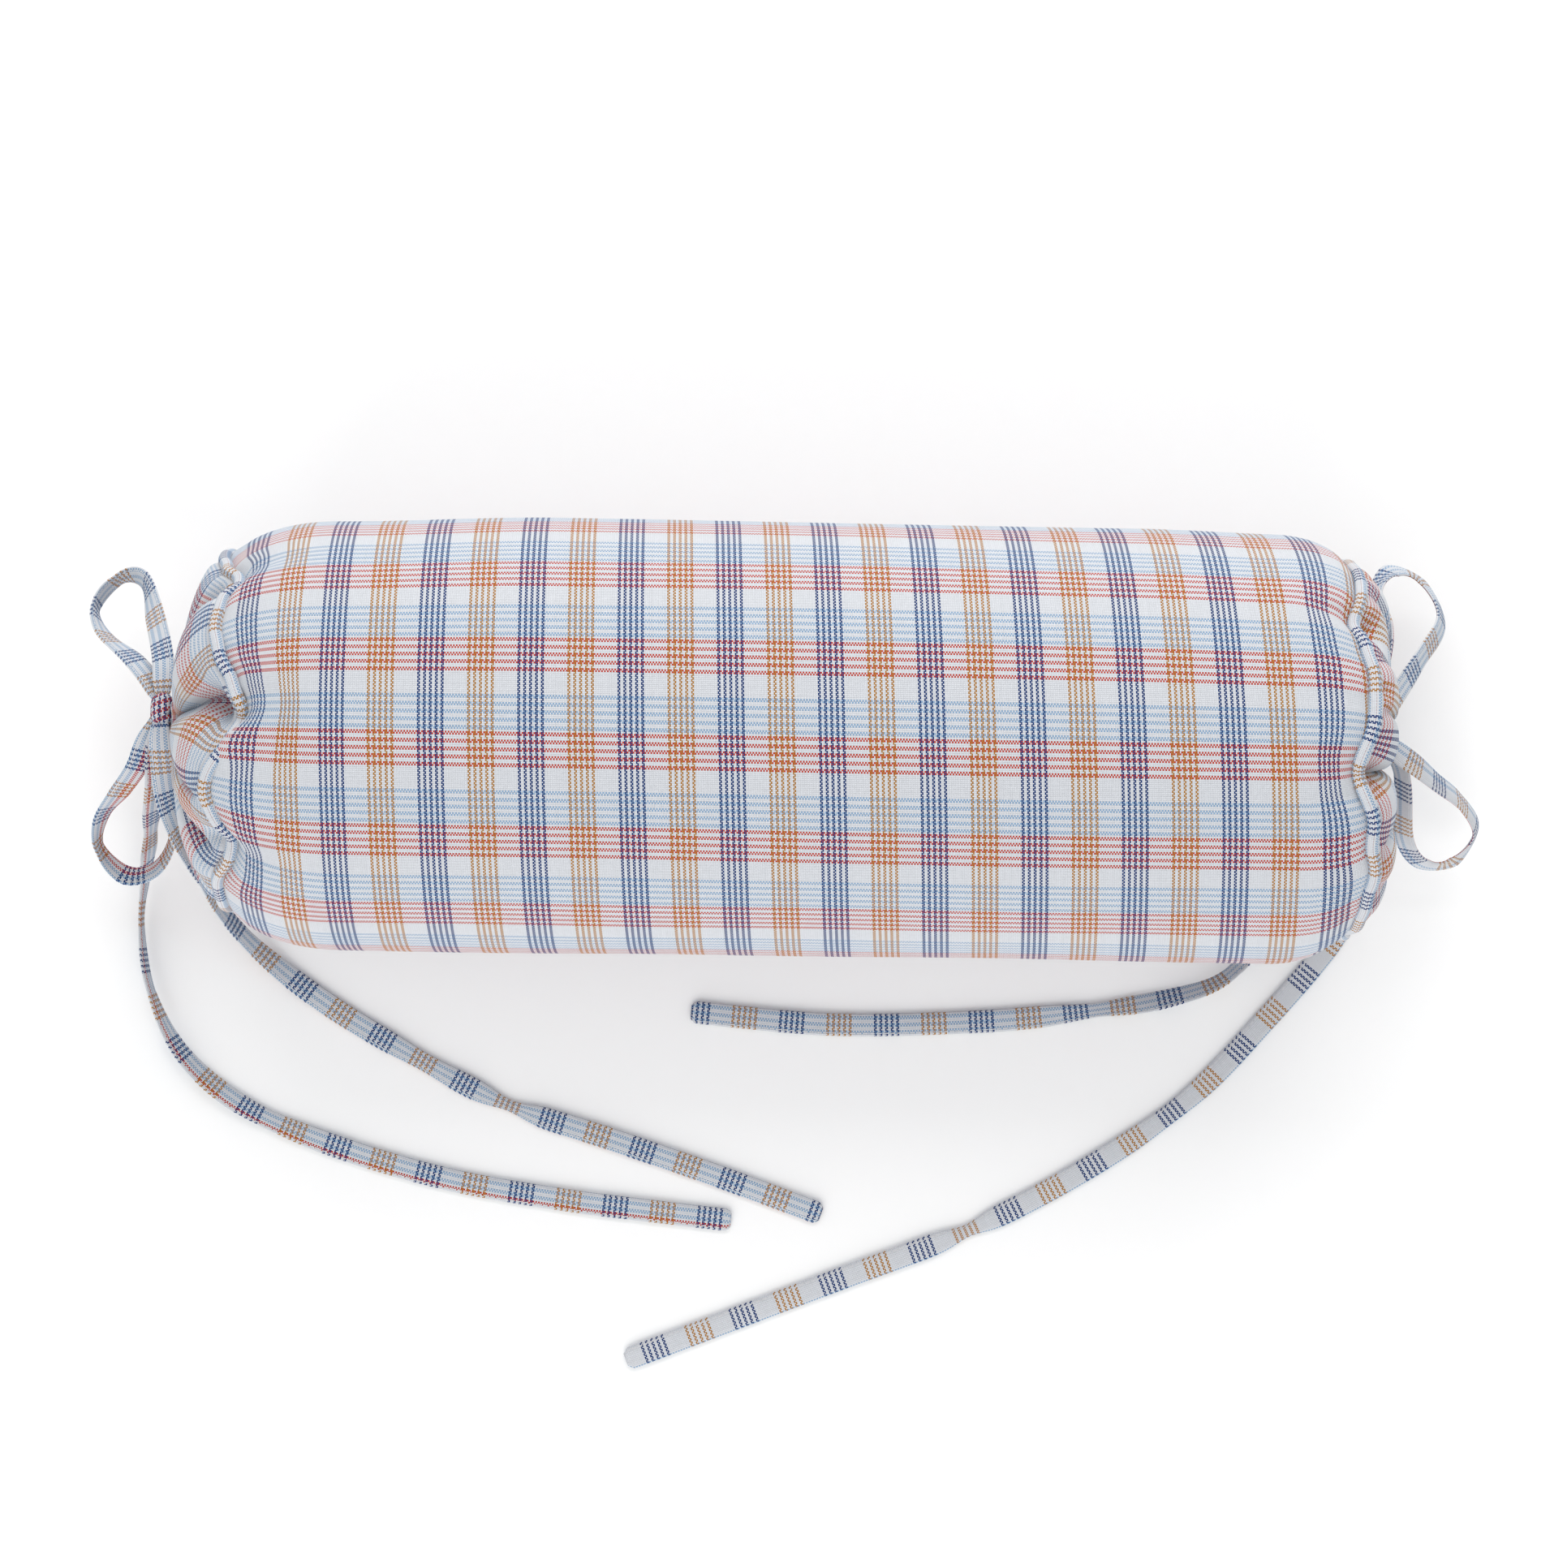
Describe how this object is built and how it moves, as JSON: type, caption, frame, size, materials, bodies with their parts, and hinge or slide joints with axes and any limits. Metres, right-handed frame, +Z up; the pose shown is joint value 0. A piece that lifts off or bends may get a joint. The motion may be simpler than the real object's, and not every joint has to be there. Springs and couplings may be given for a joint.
{
  "type": "neck roll pillow",
  "caption": "Straight round bolster pillow in a plaid cotton cover with piped, gathered ends, each shut by a drawstring ribbon tied in a bow.",
  "frame": {"origin": "on the table, under the middle of the roll", "axes": "+X along the roll towards its right end, +Y across it away from the ribbon tails, +Z up"},
  "size_m": [0.5338, 0.327, 0.146],
  "materials": {
    "plaid_cotton": "matt plain-weave cotton, white ground with navy, ochre, red and pale blue lines",
    "plaid_strip": "the same plaid cotton, cut as a narrow strip",
    "plaid_ribbon": "the same plaid cotton, folded, pressed and stitched along one edge",
    "cotton_cord": "undyed twisted cotton",
    "ticking": "plain undyed cotton, close weave",
    "fibre_filling": "loose white polyester fibre"
  },
  "bodies": {
    "pillow": {"cover_tube": "plaid_cotton", "cover_end_left": "plaid_cotton", "cover_end_right": "plaid_cotton", "piping_left": "plaid_strip", "piping_right": "plaid_strip", "piping_cord_left": "cotton_cord", "piping_cord_right": "cotton_cord", "casing_left": "plaid_strip", "casing_right": "plaid_strip", "gather_loop_left": "plaid_ribbon", "gather_loop_right": "plaid_ribbon", "tick_tube": "ticking", "tick_end_left": "ticking", "tick_end_right": "ticking", "filling": "fibre_filling"},
    "left_tie": {"neck_left": "plaid_ribbon", "knot_left": "plaid_ribbon", "bow_upper_left": "plaid_ribbon", "bow_lower_left": "plaid_ribbon", "tail_outer_left": "plaid_ribbon", "tail_inner_left": "plaid_ribbon"},
    "right_tie": {"neck_right": "plaid_ribbon", "knot_right": "plaid_ribbon", "bow_upper_right": "plaid_ribbon", "bow_lower_right": "plaid_ribbon", "tail_outer_right": "plaid_ribbon", "tail_inner_right": "plaid_ribbon"}
  },
  "joints": [
    {"name": "left_tie_slide", "type": "slide", "parent": "pillow", "child": "left_tie", "axis": [-1, 0, 0], "range_m": [0, 0.0155]},
    {"name": "right_tie_slide", "type": "slide", "parent": "pillow", "child": "right_tie", "axis": [1, 0, 0], "range_m": [0, 0.0155]}
  ]
}
